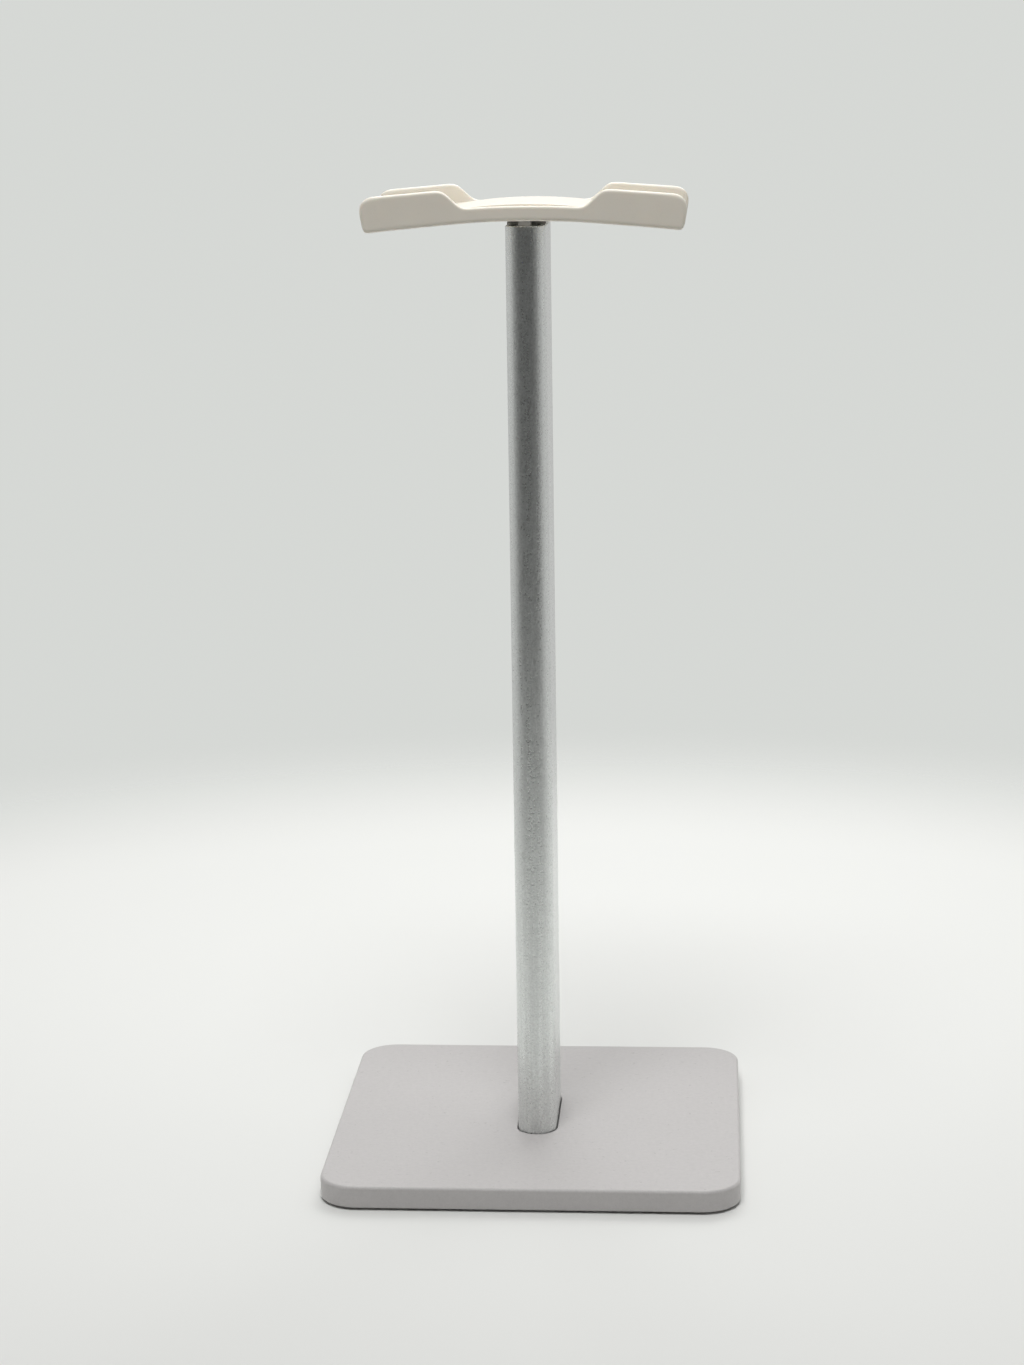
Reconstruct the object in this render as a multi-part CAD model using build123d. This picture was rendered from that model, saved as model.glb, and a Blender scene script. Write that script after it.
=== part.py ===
"""Headphone stand: a weighted square base, a flat-oval aluminium post and a flexible saddle headrest.

Millimetres, +Z up. The origin is on the table under the middle of the base. X runs along the headband,
-Y is the front. Every piece is its own solid and is written to parts/NAME.step.
"""
from build123d import *
import os

# ---- driving dimensions -------------------------------------------------------------------------
BASE_SIDE = 110.0           # square base, outside
BASE_CORNER = 10.0          # plan radius of its corners
BASE_TOP = 6.4              # height of the base's top face above the table
BASE_TOP_WALL = 2.0
BASE_SIDE_WALL = 2.2
TOP_EDGE_RADIUS = 0.8
SHELL_FLOOR_GAP = 0.6       # the shell's lower rim clears the table by this much
SHELL_RIM_CHAMFER = 0.3
SLOT_LIP_RADIUS = 0.25      # softened lip of the slot that the post passes through

POST_WIDTH = 10.4           # along X
POST_DEPTH = 31.8           # along Y
POST_WALL = 1.2
POST_TOP = 249.8            # height of the post's cut end
POST_GAP = 0.3              # clearance between the post and the slot in the base
POST_DEBURR = 0.2

SADDLE_LENGTH = 83.6        # along X, between the unrounded upper corners of its tips
SADDLE_DEPTH = 44.0         # along Y, outside the two walls
SADDLE_WALL = 2.2
SADDLE_UNDERSIDE = 251.4    # height of the underside over the post
EAR_TOP = 259.3             # height of the ears' inner, upper corners

# ---- base stack, from the table up -----------------------------------------------------------------
FOOT_RADIUS = 6.0
FOOT_THICKNESS = 1.2
FOOT_EDGE = 0.3
FOOT_RECESS_GAP = 0.2
CORNER_OFFSET = 43.0        # feet, cover screws and bosses share these four corners
BOTTOM_PLATE_LOW = 0.8
BOTTOM_PLATE_TOP = 2.0
BOTTOM_PLATE_GAP = 0.3
CORNER_PAD_RADIUS = 5.0
CORNER_PAD_TOP = 3.0
BALLAST_TOP = 4.0
BALLAST_SIDE = 102.0
BALLAST_CORNER = 6.0
BOSS_CLEARANCE_RADIUS = 5.75
BOSS_RADIUS = 3.5
RIB_WIDTH = 1.0
RIB_LENGTH = 88.0
RIB_OFFSET = 28.0
COLLAR_WALL = 2.0

# ---- fasteners -----------------------------------------------------------------------------------------
PORT_OFFSET = 9.2           # the two screw ports of the post, front and rear of its middle
PORT_OUTER_RADIUS = 3.0
PORT_BORE_RADIUS = 2.02
PORT_SLIT = 1.6
PORT_WEB = 3.0
POST_SCREW_RADIUS = 2.0
POST_SCREW_ROOT = 1.6
POST_SCREW_PITCH = 0.7
POST_SCREW_LENGTH = 16.0
POST_SCREW_HEAD_RADIUS = 4.0
POST_SCREW_HEAD_HEIGHT = 1.2
POST_SCREW_HEAD_EDGE = 0.3
POST_SCREW_HOLE_RADIUS = 2.15
HEAD_ACCESS_RADIUS = 4.6
COVER_SCREW_RADIUS = 1.3
COVER_SCREW_ROOT = 1.0
COVER_SCREW_PITCH = 0.5
COVER_SCREW_HEAD_RADIUS = 2.5
COVER_SCREW_HEAD_LOW = 1.2
COVER_SCREW_TIP = 5.4
COVER_SCREW_HOLE_RADIUS = 1.4
COVER_SCREW_SINK_GAP = 0.1
COVER_SCREW_PILOT_RADIUS = 1.32
COVER_SCREW_PILOT_TOP = 5.5
THREAD_CREST = 0.2          # share of the pitch that a thread's crest takes
THREAD_VALLEY = 0.6         # share of the pitch from a crest's start to the valley's lowest point
CROSS_WIDTH = 0.9           # width of a cross recess's slots
POST_SCREW_CROSS_RADIUS = 2.0
POST_SCREW_CROSS_DEPTH = 0.8
COVER_SCREW_CROSS_RADIUS = 1.4
COVER_SCREW_CROSS_DEPTH = 0.7

# ---- saddle and its plug ---------------------------------------------------------------------------
ARCH_RADIUS = 217.0         # arch of the underside and of the low rim between the ears
ARCH_HALF = 19.0            # half length of that arch; its wings run on straight to the tips
RIM_HEIGHT = 3.85           # low rim above the underside
CREST_HEIGHT = 4.35         # the seat's crest above the underside
SEAT_RADIUS = 110.0         # arch of the seat, along the headband
SEAT_ARCH_HALF = 15.0       # half length of that arch; it too runs on straight
SKIN_THICKNESS = 2.5        # floor that runs on under the walls
SKIN_DEPTH = 41.8
RAMP_LOW_X = 15.5           # each ear's inner ramp starts here, on the low rim
RAMP_HIGH_X = 20.3          # and ends here, on the ear's top
RAMP_RADIUS = 3.0
EAR_SLOPE = 0.08            # fall of the ears' tops towards the tips, height over run
TIP_TOP_RADIUS = 3.7
TIP_LOW_RADIUS = 1.3
TIP_UNDERCUT = 1.3          # the tips lean in by this much at the underside
EDGE_RADIUS = 0.9           # rounded rims of the walls

PLUG_LENGTH = 16.0
PLUG_HALF_WIDTH = 3.9       # body, along X
PLUG_HALF_DEPTH = 6.0       # body, along Y
PLUG_WALL = 1.4
PLUG_RIB = 0.8              # crush ribs that close the last tenth of a millimetre
PLUG_RIB_START = 2.0        # above the plug's lower end
PLUG_LEAD = 0.6
SHOULDER_WIDTH = 10.0       # block that fills the gap between the post's end and the saddle
SHOULDER_DEPTH = 12.6
SHOULDER_RIB = 3.0          # rib through it, which stands on the webs of the post
SHOULDER_RIB_LENGTH = 30.6
SHOULDER_RIB_GAP = 0.05     # below the saddle
ANCHOR_LENGTH = 34.0        # plate buried in the saddle
ANCHOR_DEPTH = 16.0
ANCHOR_LOW = 0.7            # its lower face, above the underside
ANCHOR_THICKNESS = 1.4
ANCHOR_CORNER = 3.0

POST_LOW = BALLAST_TOP
CORNERS = {
    "front_left": (-CORNER_OFFSET, -CORNER_OFFSET),
    "front_right": (CORNER_OFFSET, -CORNER_OFFSET),
    "rear_left": (-CORNER_OFFSET, CORNER_OFFSET),
    "rear_right": (CORNER_OFFSET, CORNER_OFFSET),
}
PORTS = [(0.0, -PORT_OFFSET), (0.0, PORT_OFFSET)]


def prism(sketch, low, high):
    """The sketch, pushed straight up from one height to another."""
    return extrude(Pos(0, 0, low) * sketch, amount=high - low)


def disc(radius, low, high, centre=(0.0, 0.0)):
    """An upright round bar or hole."""
    return prism(Pos(centre[0], centre[1]) * Circle(radius), low, high)


def slot_face(width, depth):
    """A flat oval, its long way along Y."""
    return SlotOverall(depth, width, rotation=90)


def rounded_square(side, corner):
    return RectangleRounded(side, side, corner)


def edges_at_height(solid, height):
    return solid.edges().filter_by_position(Axis.Z, height, height)


# ---- base ----------------------------------------------------------------------------------------------
def make_base_cover():
    """Moulded top shell: thin top, short side walls, screw bosses and ribs that press on the ballast."""
    shell = prism(rounded_square(BASE_SIDE, BASE_CORNER), SHELL_FLOOR_GAP, BASE_TOP)
    shell = fillet(edges_at_height(shell, BASE_TOP), TOP_EDGE_RADIUS)
    shell = chamfer(edges_at_height(shell, SHELL_FLOOR_GAP), SHELL_RIM_CHAMFER)
    ceiling = BASE_TOP - BASE_TOP_WALL
    inside = BASE_SIDE - 2 * BASE_SIDE_WALL
    shell -= prism(rounded_square(inside, BASE_CORNER - BASE_SIDE_WALL), SHELL_FLOOR_GAP, ceiling)

    collar_grow = 2 * (POST_GAP + COLLAR_WALL)
    shell += prism(slot_face(POST_WIDTH + collar_grow, POST_DEPTH + collar_grow), BALLAST_TOP, ceiling)
    for side in (-1, 1):
        rib = prism(Rectangle(RIB_LENGTH, RIB_WIDTH), BALLAST_TOP, ceiling)
        shell += Pos(0, side * RIB_OFFSET, 0) * rib
        shell += Pos(side * RIB_OFFSET, 0, 0) * Rot(0, 0, 90) * rib
    for corner in CORNERS.values():
        shell += disc(BOSS_RADIUS, CORNER_PAD_TOP, ceiling, corner)
    for corner in CORNERS.values():
        shell -= disc(COVER_SCREW_PILOT_RADIUS, CORNER_PAD_TOP, COVER_SCREW_PILOT_TOP, corner)
    shell -= prism(slot_face(POST_WIDTH + 2 * POST_GAP, POST_DEPTH + 2 * POST_GAP), 0, BASE_TOP)
    lip = [e for e in edges_at_height(shell, BASE_TOP) if e.center().length < BASE_SIDE / 4]
    return fillet(lip, SLOT_LIP_RADIUS)


def make_base_bottom_plate():
    """Flat moulded closing plate, set inside the shell's walls, with a recess for each foot."""
    side = BASE_SIDE - 2 * BASE_SIDE_WALL - 2 * BOTTOM_PLATE_GAP
    corner_radius = BASE_CORNER - BASE_SIDE_WALL - BOTTOM_PLATE_GAP
    plate = prism(rounded_square(side, corner_radius), BOTTOM_PLATE_LOW, BOTTOM_PLATE_TOP)
    for corner in CORNERS.values():
        plate += disc(CORNER_PAD_RADIUS, BOTTOM_PLATE_TOP, CORNER_PAD_TOP, corner)
    for corner in CORNERS.values():
        plate -= disc(FOOT_RADIUS + FOOT_RECESS_GAP, BOTTOM_PLATE_LOW, FOOT_THICKNESS, corner)
        plate -= disc(COVER_SCREW_HOLE_RADIUS, BOTTOM_PLATE_LOW, CORNER_PAD_TOP, corner)
        sink = Cone(
            bottom_radius=COVER_SCREW_HEAD_RADIUS + COVER_SCREW_SINK_GAP,
            top_radius=COVER_SCREW_RADIUS + COVER_SCREW_SINK_GAP,
            height=COVER_SCREW_HEAD_RADIUS - COVER_SCREW_RADIUS,
            align=(Align.CENTER, Align.CENTER, Align.MIN),
        )
        plate -= Pos(corner[0], corner[1], COVER_SCREW_HEAD_LOW) * sink
    for port in PORTS:
        plate -= disc(HEAD_ACCESS_RADIUS, BOTTOM_PLATE_LOW, BOTTOM_PLATE_TOP, port)
    return plate


def make_ballast_plate():
    """Steel plate that weighs the base down and carries the post, holed round the four screw bosses."""
    plate = prism(rounded_square(BALLAST_SIDE, BALLAST_CORNER), BOTTOM_PLATE_TOP, BALLAST_TOP)
    for corner in CORNERS.values():
        plate -= disc(BOSS_CLEARANCE_RADIUS, BOTTOM_PLATE_TOP, BALLAST_TOP, corner)
    for port in PORTS:
        plate -= disc(POST_SCREW_HOLE_RADIUS, BOTTOM_PLATE_TOP, BALLAST_TOP, port)
    return plate


def make_foot(corner):
    """Self-adhesive rubber disc with a softened lower edge; it hides a cover screw."""
    foot = disc(FOOT_RADIUS, 0, FOOT_THICKNESS)
    foot = fillet(edges_at_height(foot, 0), FOOT_EDGE)
    return Pos(corner[0], corner[1], 0) * foot


# ---- screws --------------------------------------------------------------------------------------------
def threaded_outline(radius, root, pitch, low, high):
    """Saw-tooth edge of a screw's shank, from its plain neck up to its blunt tip."""
    points = [(radius, low)]
    turns = int((high - low) / pitch) - 1
    for turn in range(turns):
        start = low + turn * pitch
        points.append((radius, start + THREAD_CREST * pitch))
        points.append((root, start + THREAD_VALLEY * pitch))
        points.append((radius, start + pitch))
    points += [(root, high), (0, high)]
    return points


def cross_recess(radius, low, depth):
    """Two crossed slots, cut up into a screw head from its face."""
    slot = Box(2 * radius, CROSS_WIDTH, depth, align=(Align.CENTER, Align.CENTER, Align.MIN))
    return Pos(0, 0, low) * (slot + Rot(0, 0, 90) * slot)


def make_post_screw():
    """Flat-headed screw that runs up through the ballast plate into a port of the post."""
    face = BOTTOM_PLATE_TOP - POST_SCREW_HEAD_HEIGHT
    edge = POST_SCREW_HEAD_EDGE
    outline = [(0, face), (POST_SCREW_HEAD_RADIUS - edge, face), (POST_SCREW_HEAD_RADIUS, face + edge),
               (POST_SCREW_HEAD_RADIUS, BOTTOM_PLATE_TOP), (POST_SCREW_RADIUS, BOTTOM_PLATE_TOP)]
    tip = BOTTOM_PLATE_TOP + POST_SCREW_LENGTH
    outline += threaded_outline(POST_SCREW_RADIUS, POST_SCREW_ROOT, POST_SCREW_PITCH, BALLAST_TOP, tip)
    screw = turned(outline)
    return screw - cross_recess(POST_SCREW_CROSS_RADIUS, face, POST_SCREW_CROSS_DEPTH)


def make_cover_screw():
    """Small countersunk screw that holds the bottom plate to a boss of the shell."""
    neck = COVER_SCREW_HEAD_LOW + COVER_SCREW_HEAD_RADIUS - COVER_SCREW_RADIUS
    outline = [(0, COVER_SCREW_HEAD_LOW), (COVER_SCREW_HEAD_RADIUS, COVER_SCREW_HEAD_LOW),
               (COVER_SCREW_RADIUS, neck)]
    outline += threaded_outline(COVER_SCREW_RADIUS, COVER_SCREW_ROOT, COVER_SCREW_PITCH,
                                CORNER_PAD_TOP, COVER_SCREW_TIP)
    screw = turned(outline)
    return screw - cross_recess(COVER_SCREW_CROSS_RADIUS, COVER_SCREW_HEAD_LOW, COVER_SCREW_CROSS_DEPTH)


def turned(outline):
    """A solid of revolution about Z from points of radius and height that start and end on the axis."""
    wire = Polyline(*[(r, 0, z) for r, z in outline], close=True)
    return revolve(make_face(wire), Axis.Z, 360)


def make_post_screws():
    return [Pos(x, y, 0) * make_post_screw() for x, y in PORTS]


def make_cover_screws():
    return [Pos(x, y, 0) * make_cover_screw() for x, y in CORNERS.values()]


# ---- post ----------------------------------------------------------------------------------------------
def make_post():
    """Extruded flat-oval tube with an open screw port on a web at each end of its hollow."""
    section = slot_face(POST_WIDTH, POST_DEPTH)
    section -= slot_face(POST_WIDTH - 2 * POST_WALL, POST_DEPTH - 2 * POST_WALL)
    for side in (-1, 1):
        centre = side * PORT_OFFSET
        wall = side * (POST_DEPTH / 2 - POST_WALL / 2)
        section += Pos(0, centre) * Circle(PORT_OUTER_RADIUS)
        section += Pos(0, (centre + wall) / 2) * Rectangle(PORT_WEB, abs(wall - centre))
        section -= Pos(0, centre) * Circle(PORT_BORE_RADIUS)
        section -= Pos(0, centre - side * PORT_OUTER_RADIUS / 2) * Rectangle(PORT_SLIT, PORT_OUTER_RADIUS)
    post = prism(section, POST_LOW, POST_TOP)
    rims = [e for h in (POST_LOW, POST_TOP) for e in edges_at_height(post, h) if on_outer_wall(e)]
    return chamfer(rims, POST_DEBURR)


def on_outer_wall(edge):
    """True for an edge of the oval's outside, and not of its hollow."""
    middle = edge.position_at(0.5)
    half_flat = (POST_DEPTH - POST_WIDTH) / 2
    beyond = max(abs(middle.Y) - half_flat, 0)
    reach = (middle.X ** 2 + beyond ** 2) ** 0.5
    return abs(reach - POST_WIDTH / 2) < 0.01


# ---- headrest ------------------------------------------------------------------------------------------
def arched(x, top, radius, half):
    """Height at x of an arch that peaks in the middle and runs on straight past its half length."""
    along = min(abs(x), half)
    drop = radius - (radius ** 2 - along ** 2) ** 0.5
    slope = half / (radius ** 2 - half ** 2) ** 0.5
    return top - drop - (abs(x) - along) * slope


def underside_at(x):
    return arched(x, SADDLE_UNDERSIDE, ARCH_RADIUS, ARCH_HALF)


def wall_outline():
    """A wall's outline seen from the front: underside, tips, raised ears and the low rim between."""
    half = SADDLE_LENGTH / 2
    rim_z = arched(RAMP_LOW_X, SADDLE_UNDERSIDE + RIM_HEIGHT, ARCH_RADIUS, ARCH_HALF)
    ear_z = EAR_TOP - (half - RAMP_HIGH_X) * EAR_SLOPE
    low_x = half - TIP_UNDERCUT
    corners = [
        (RAMP_LOW_X, rim_z, RAMP_RADIUS),
        (RAMP_HIGH_X, EAR_TOP, RAMP_RADIUS),
        (half, ear_z, TIP_TOP_RADIUS),
        (low_x, underside_at(low_x), TIP_LOW_RADIUS),
    ]
    rim_middle = (0, SADDLE_UNDERSIDE + RIM_HEIGHT)
    rim = ThreePointArc((-RAMP_LOW_X, rim_z), rim_middle, (RAMP_LOW_X, rim_z))
    shoulder = (ARCH_HALF, underside_at(ARCH_HALF))
    belly = ThreePointArc(shoulder, (0, SADDLE_UNDERSIDE), (-shoulder[0], shoulder[1]))
    right = Polyline(*[(x, z) for x, z, _ in corners], shoulder)
    left = Polyline(*[(-x, z) for x, z, _ in corners], (-shoulder[0], shoulder[1]))
    face = make_face([rim, right, belly, left])
    for x, z, radius in corners:
        face = fillet([v for v in face.vertices() if stands_at(v, x, z)], radius)
    return face


def stands_at(vertex, x, z):
    """True for the two mirrored corners of an outline at this distance from the middle."""
    return abs(abs(vertex.X) - x) < 0.01 and abs(vertex.Y - z) < 0.01


def floor_outline(top, radius, half):
    """The saddle's floor seen from the front, from its underside up to an arched top line."""
    tip_x = SADDLE_LENGTH / 2
    low_x = tip_x - TIP_UNDERCUT
    ear_z = EAR_TOP - (tip_x - RAMP_HIGH_X) * EAR_SLOPE
    lean = TIP_UNDERCUT / (ear_z - underside_at(low_x))
    end_x = low_x + TIP_LOW_RADIUS * lean
    flank = [
        (ARCH_HALF, underside_at(ARCH_HALF)),
        (low_x - TIP_LOW_RADIUS, underside_at(low_x - TIP_LOW_RADIUS)),
        (end_x, underside_at(low_x) + TIP_LOW_RADIUS),
        (end_x, arched(end_x, top, radius, half)),
        (half, arched(half, top, radius, half)),
    ]
    right = Polyline(*flank)
    left = mirror(right, Plane.YZ)
    belly = ThreePointArc((-flank[0][0], flank[0][1]), (0, SADDLE_UNDERSIDE), flank[0])
    crown = ThreePointArc(flank[-1], (0, top), (-flank[-1][0], flank[-1][1]))
    return make_face([belly, right, crown, left])


def across(face, depth):
    """A front-view outline, given depth to the front and to the rear alike."""
    upright = Rot(90, 0, 0) * face
    return extrude(upright, amount=depth / 2, both=True)


def anchor_solid():
    """The plug's shoulder and buried plate, and so also the pocket that the saddle closes round them."""
    neck = prism(Rectangle(SHOULDER_WIDTH, SHOULDER_DEPTH), POST_TOP, SADDLE_UNDERSIDE + ANCHOR_LOW)
    low = SADDLE_UNDERSIDE + ANCHOR_LOW
    plate = prism(RectangleRounded(ANCHOR_LENGTH, ANCHOR_DEPTH, ANCHOR_CORNER), low, low + ANCHOR_THICKNESS)
    return neck + plate


def make_headrest_pad():
    """One soft moulding: an arched seat between two walls, whose four raised ears keep a headband in."""
    wall = across(wall_outline(), SADDLE_WALL)
    wall = fillet([e for e in wall.edges() if on_face(e, SADDLE_WALL / 2)], EDGE_RADIUS)
    offset = (SADDLE_DEPTH - SADDLE_WALL) / 2
    skin = across(floor_outline(SADDLE_UNDERSIDE + SKIN_THICKNESS, ARCH_RADIUS, ARCH_HALF), SKIN_DEPTH)
    seat = across(floor_outline(SADDLE_UNDERSIDE + CREST_HEIGHT, SEAT_RADIUS, SEAT_ARCH_HALF),
                  SADDLE_DEPTH - 2 * SADDLE_WALL)
    pad = Pos(0, -offset, 0) * wall + Pos(0, offset, 0) * wall + skin + seat
    return pad - anchor_solid()


def on_face(edge, distance):
    """True for an edge that lies wholly in a wall's front or rear face."""
    return all(abs(abs(edge.position_at(t).Y) - distance) < 0.001 for t in (0, 0.5, 1))


def make_headrest_plug():
    """Stiff moulding: a ribbed plug in the post's hollow, a shoulder on its end, a plate in the saddle."""
    low = POST_TOP - PLUG_LENGTH
    body = prism(Rectangle(2 * PLUG_HALF_WIDTH, 2 * PLUG_HALF_DEPTH), low, POST_TOP)
    body = chamfer(edges_at_height(body, low), PLUG_LEAD)
    reach = POST_WIDTH / 2 - POST_WALL
    for y in (-PLUG_HALF_DEPTH / 2, PLUG_HALF_DEPTH / 2):
        body += Pos(0, y, 0) * prism(Rectangle(2 * reach, PLUG_RIB), low + PLUG_RIB_START, POST_TOP)
    hollow = Rectangle(2 * (PLUG_HALF_WIDTH - PLUG_WALL), 2 * (PLUG_HALF_DEPTH - PLUG_WALL))
    body -= prism(hollow, low, POST_TOP - PLUG_WALL)
    rib = Rectangle(SHOULDER_RIB, SHOULDER_RIB_LENGTH)
    body += prism(rib, POST_TOP, SADDLE_UNDERSIDE - SHOULDER_RIB_GAP)
    return body + anchor_solid()


# ---- write every piece ---------------------------------------------------------------------------------
def write(name, shape):
    """One STEP file for one node; a list of shapes is written as one group of solids."""
    if isinstance(shape, list):
        shape = Compound(children=[piece.solid() for piece in shape])
    export_step(shape, f"parts/{name}.step")


def main():
    os.makedirs("parts", exist_ok=True)
    write("base_cover", make_base_cover())
    write("base_bottom_plate", make_base_bottom_plate())
    write("ballast_plate", make_ballast_plate())
    write("cover_screws", make_cover_screws())
    write("post_screws", make_post_screws())
    for name, corner in CORNERS.items():
        write(f"foot_{name}", make_foot(corner))
    write("post", make_post())
    write("headrest_plug", make_headrest_plug())
    write("headrest_pad", make_headrest_pad())


main()
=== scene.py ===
# %% [markdown]
# # A headphone stand
# The stand is a flat, weighted plastic base, a slim metal post and a soft saddle for the headband.
# Its hard parts come as finished meshes with exact sizes, so they stay as they are and only get their
# finishes here. The soft saddle is modelled in this file, because a moulded elastomer has no sharp
# edges, and a subdivision surface gives it that look far better than flat facets do.

# %% Load the hard parts
import math

import bpy
from mathutils import Matrix, Vector


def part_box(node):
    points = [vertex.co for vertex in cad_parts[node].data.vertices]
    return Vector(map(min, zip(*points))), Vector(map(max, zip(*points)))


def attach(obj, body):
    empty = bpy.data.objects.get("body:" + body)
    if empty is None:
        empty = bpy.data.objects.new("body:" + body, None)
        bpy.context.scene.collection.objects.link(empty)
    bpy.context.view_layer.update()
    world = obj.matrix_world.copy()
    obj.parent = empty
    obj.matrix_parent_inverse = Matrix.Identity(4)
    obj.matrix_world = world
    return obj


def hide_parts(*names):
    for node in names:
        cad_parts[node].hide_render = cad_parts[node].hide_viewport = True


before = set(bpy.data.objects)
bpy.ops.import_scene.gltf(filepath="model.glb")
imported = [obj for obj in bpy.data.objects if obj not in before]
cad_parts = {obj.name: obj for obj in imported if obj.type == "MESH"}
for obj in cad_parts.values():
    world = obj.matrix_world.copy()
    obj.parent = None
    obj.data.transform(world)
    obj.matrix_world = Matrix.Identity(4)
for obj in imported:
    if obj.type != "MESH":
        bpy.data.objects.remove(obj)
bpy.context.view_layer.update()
MM = 0.001
print("hard parts:", sorted(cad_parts))

# %% [markdown]
# ## The camera
# A product shot of a tall, slim thing is taken from a little above with a short telephoto lens, which
# keeps the post's sides nearly parallel. The camera is placed by its aim: how far it is turned to the
# left, how far it looks down and how much it leans. Those three angles make its axes directly.

# %% Camera
FRAME_LONG_SIDE = 1365
FOCAL_IN_FRAME = 2841
SENSOR = 36.0
CAMERA_PLACE = Vector((47.94, -741.13, 290.68)) * MM
TURN_LEFT, LOOK_DOWN, LEAN = (math.radians(a) for a in (4.159, 12.335, -0.862))

ahead = Vector((-math.sin(TURN_LEFT) * math.cos(LOOK_DOWN), math.cos(TURN_LEFT) * math.cos(LOOK_DOWN),
                -math.sin(LOOK_DOWN)))
level = Vector((math.cos(TURN_LEFT), math.sin(TURN_LEFT), 0))
upward = level.cross(ahead)
side = math.cos(LEAN) * level + math.sin(LEAN) * upward
top = math.cos(LEAN) * upward - math.sin(LEAN) * level

bpy.ops.object.camera_add(location=CAMERA_PLACE)
camera = bpy.context.object
camera.name = "camera"
turned = Matrix((side, top, -ahead)).transposed()
camera.matrix_world = Matrix.Translation(CAMERA_PLACE) @ turned.to_4x4()
camera.data.sensor_width = SENSOR
camera.data.lens = FOCAL_IN_FRAME / FRAME_LONG_SIDE * SENSOR
bpy.context.scene.camera = camera
print("lens, mm:", round(camera.data.lens, 1))

# %% [markdown]
# ## Writing shaders as sums
# Every finish below is a small node tree. Wiring nodes one by one hides the idea, so a thin wrapper
# round a socket lets a tree be written as arithmetic: `0.4 + 0.1 * grain` adds its own Math nodes.
# One method, `node`, adds any other node: its settings first, then the values or links it reads.

# %% Shader helper
class Socket:
    """An output socket that can be added, taken away and multiplied."""

    def __init__(self, tree, output):
        self.tree = tree
        self.output = output

    def _math(self, operation, first, second):
        return self.tree.node("ShaderNodeMath", {"operation": operation}, {0: first, 1: second})

    def __add__(self, other):
        return self._math("ADD", self, other)

    def __sub__(self, other):
        return self._math("SUBTRACT", self, other)

    def __rsub__(self, other):
        return self._math("SUBTRACT", other, self)

    def __mul__(self, other):
        return self._math("MULTIPLY", self, other)

    __radd__ = __add__
    __rmul__ = __mul__


class Tree:
    """A node tree of a material or of the world."""

    def __init__(self, owner):
        owner.use_nodes = True
        self.nodes = owner.node_tree.nodes
        self.links = owner.node_tree.links
        self.nodes.clear()

    def node(self, kind, settings=None, sockets=None, output=0):
        made = self.nodes.new(kind)
        for name, value in (settings or {}).items():
            if name == "ramp":
                set_ramp(made.color_ramp, value)
            else:
                setattr(made, name, value)
        for name, value in (sockets or {}).items():
            if isinstance(value, Socket):
                self.links.new(value.output, made.inputs[name])
            else:
                made.inputs[name].default_value = value
        return Socket(self, made.outputs[output]) if made.outputs else made

    def ramp(self, value, *stops):
        """A black-to-white ramp, given as pairs of place and brightness."""
        return self.node("ShaderNodeValToRGB", {"ramp": stops}, {"Fac": value})

    def noise(self, where, size_mm, detail=2.0, roughness=0.5):
        """Cloudy noise whose lumps are about this many millimetres apart."""
        return self.node("ShaderNodeTexNoise", None, {
            "Vector": where, "Scale": 1 / (size_mm * MM), "Detail": detail, "Roughness": roughness})

    def stretched(self, where, scale, turn=0.0):
        """Coordinates scaled by axis, and turned about Z, so that a pattern runs out in lines."""
        return self.node("ShaderNodeMapping", None, {
            "Vector": where, "Rotation": (0, 0, turn), "Scale": scale})

    def band(self, value, low, high, before=0.0, after=1.0):
        """One number below the low value, another above the high one, and a soft step between."""
        return self.node("ShaderNodeMapRange", {"interpolation_type": "SMOOTHSTEP"},
                         {0: value, 1: low, 2: high, 3: before, 4: after})

    def along(self, axis, where):
        """One coordinate of a place or a direction."""
        return self.node("ShaderNodeSeparateXYZ", None, {0: where}, output=axis)

    def absolute(self, value):
        return self.node("ShaderNodeMath", {"operation": "ABSOLUTE"}, {0: value})

    def farthest(self, where):
        """The larger of the distances from the middle along X and along Y."""
        sideways, lengthways = (self.absolute(self.along(axis, where)) for axis in "XY")
        return self.node("ShaderNodeMath", {"operation": "MAXIMUM"}, {0: sideways, 1: lengthways})

    def mix(self, share, first, second):
        """A colour between two colours."""
        return self.node("ShaderNodeMix", {"data_type": "RGBA"}, {"Factor": share, 6: first, 7: second},
                         output=2)


def set_ramp(ramp, stops):
    while len(ramp.elements) < len(stops):
        ramp.elements.new(0.5)
    for element, (place, brightness) in zip(ramp.elements, stops):
        element.position = place
        element.color = (brightness, brightness, brightness, 1)


def surface(name, **constants):
    """A new material, its tree, its object coordinates and a Principled shader joined to its output."""
    material = bpy.data.materials.new(name)
    tree = Tree(material)
    shader = tree.nodes.new("ShaderNodeBsdfPrincipled")
    for socket, value in constants.items():
        shader.inputs[socket.replace("_", " ")].default_value = value
    output = tree.nodes.new("ShaderNodeOutputMaterial")
    tree.links.new(shader.outputs[0], output.inputs[0])
    where = tree.node("ShaderNodeTexCoord", output="Object")
    return material, tree, shader, where


def feed(tree, shader, **sources):
    """Joins sockets that vary over the surface to the shader's inputs."""
    for socket, source in sources.items():
        tree.links.new(source.output, shader.inputs[socket.replace("_", " ")])


print("shader helper ready")
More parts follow.
